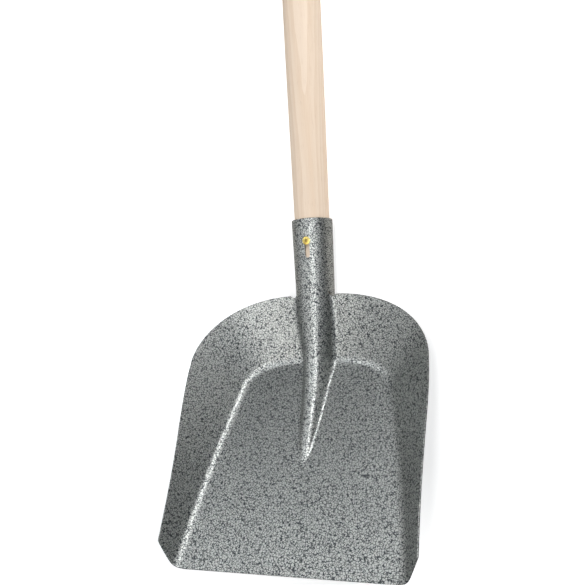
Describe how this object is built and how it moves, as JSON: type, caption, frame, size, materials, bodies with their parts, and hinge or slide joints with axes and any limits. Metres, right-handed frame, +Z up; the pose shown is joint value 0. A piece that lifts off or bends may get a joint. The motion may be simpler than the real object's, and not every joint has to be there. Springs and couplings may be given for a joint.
{
  "type": "grain scoop shovel",
  "caption": "Grain scoop shovel: pressed steel pan with flared side and rear walls, a raised rib running into a rolled socket, and a long round wooden handle held by a screw.",
  "frame": {"origin": "middle of the overall box, on the ground that the shovel lies on", "axes": "+Z up, +Y from the blade towards the handle's end, +X across the blade; the shovel lies on its back, touching the ground at the blade's heel and at the handle's end, with the cutting edge raised"},
  "size_m": [0.241, 1.428, 0.1549],
  "materials": {
    "hammered_paint": "silver-grey hammered paint, semi-gloss, on pressed sheet steel",
    "birch": "turned and sanded pale birch, unvarnished, satin",
    "yellow_zinc": "yellow zinc plated steel wood screw"
  },
  "bodies": {
    "root": {"scoop_blade": "hammered_paint", "handle": "birch", "handle_screw": "yellow_zinc"}
  },
  "joints": []
}
